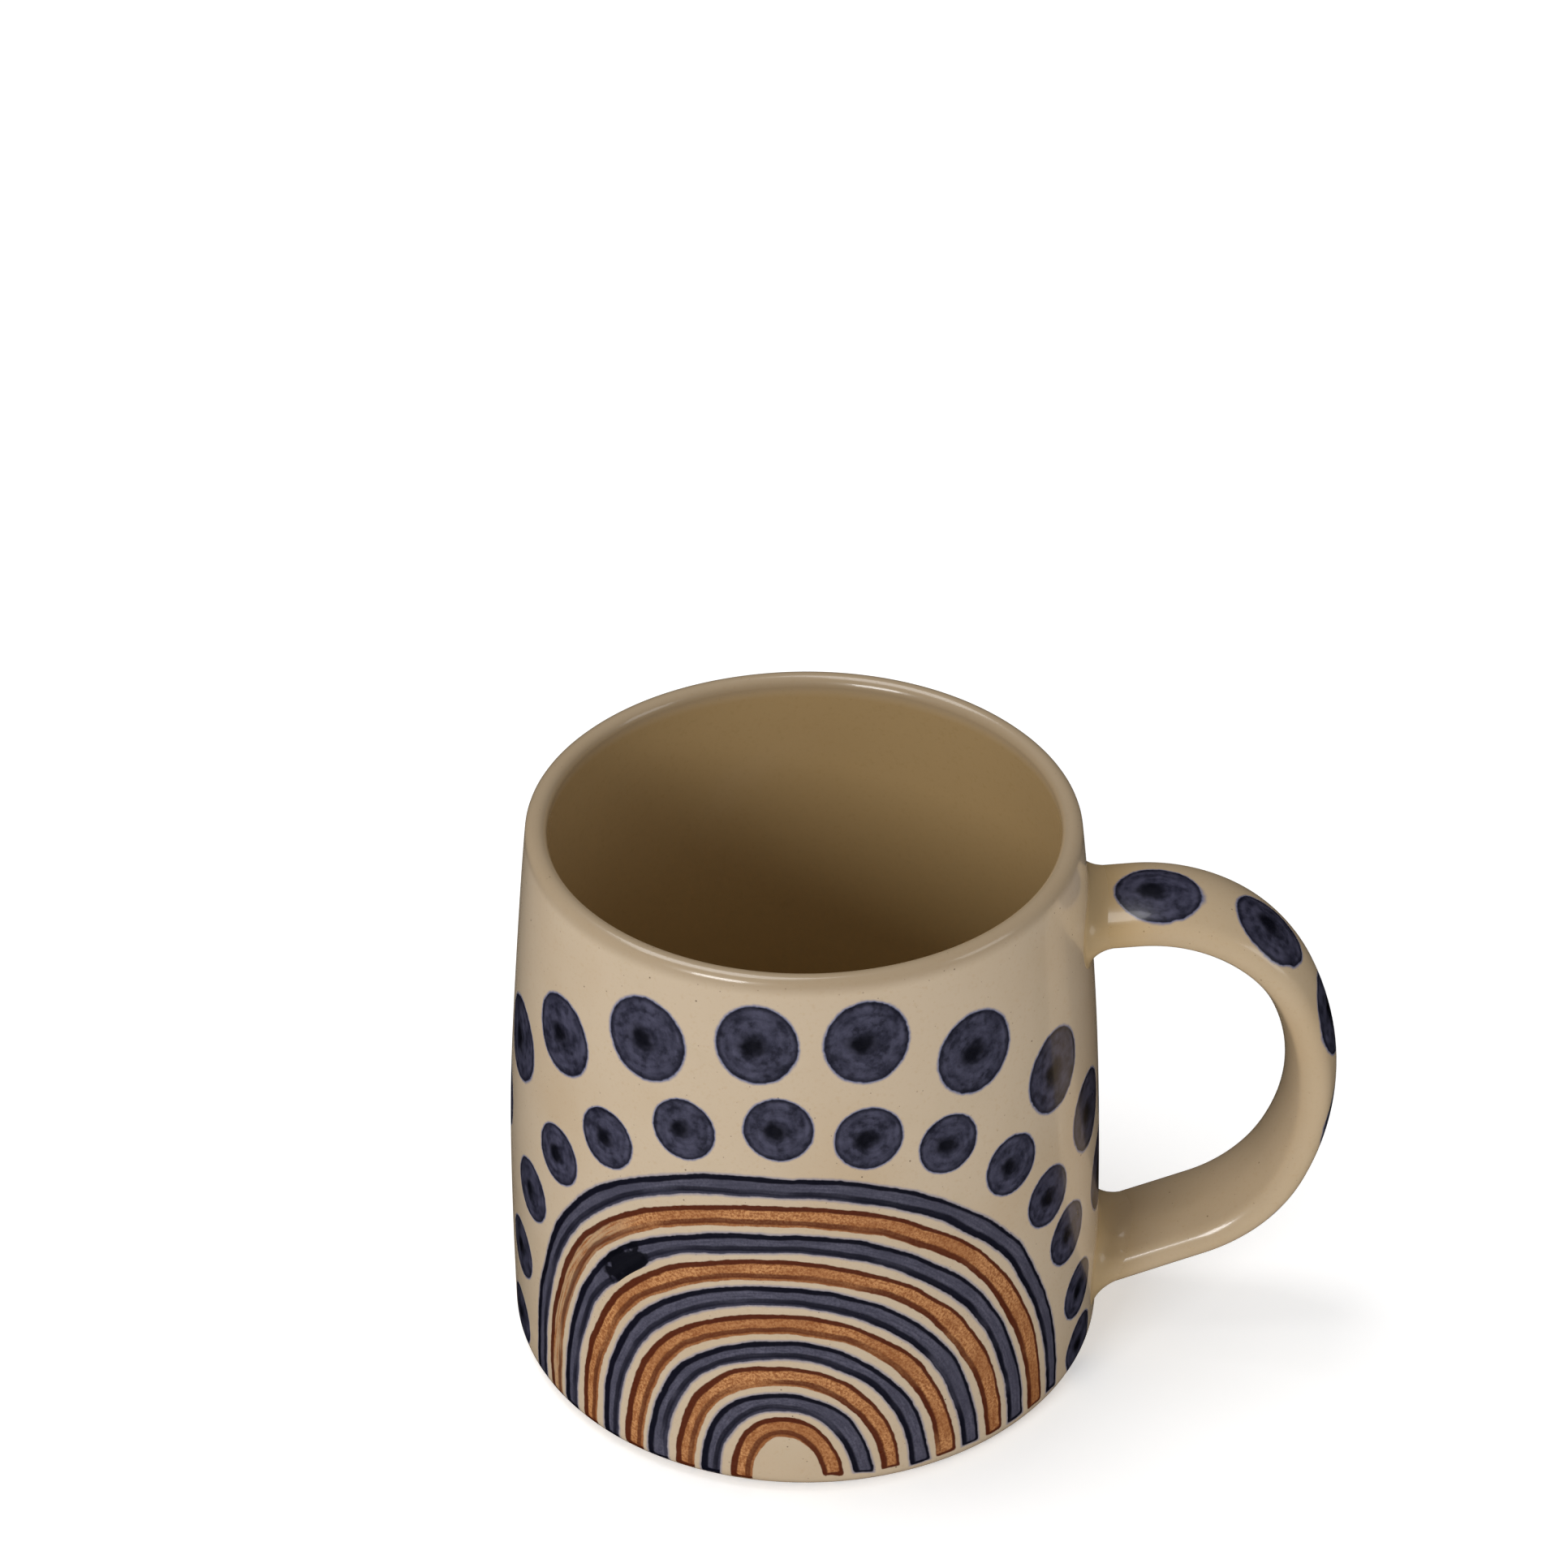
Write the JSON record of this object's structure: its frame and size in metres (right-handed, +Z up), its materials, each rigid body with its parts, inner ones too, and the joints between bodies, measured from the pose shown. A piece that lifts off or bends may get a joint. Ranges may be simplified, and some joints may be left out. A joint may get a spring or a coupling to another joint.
{
  "type": "mug",
  "caption": "Stoneware drinking mug: a round cup that widens towards its foot, with a side strap handle set on with slip and hand-painted arches and dots.",
  "frame": {"origin": "centre of the foot ring, on the surface that the mug stands on", "axes": "+Z up through the middle of the cup, +X from the middle towards the handle"},
  "size_m": [0.1307, 0.094, 0.0945],
  "materials": {
    "glazed_body": "gloss cream glaze with dark specks over blue and brown brushwork",
    "glazed_handle": "gloss cream glaze with dark specks and a row of blue dots",
    "glazed_slip": "gloss cream glaze, a little darker where it pools in the joint"
  },
  "bodies": {
    "root": {"mug_body": "glazed_body", "handle": "glazed_handle", "upper_slip_joint": "glazed_slip", "lower_slip_joint": "glazed_slip"}
  },
  "joints": []
}
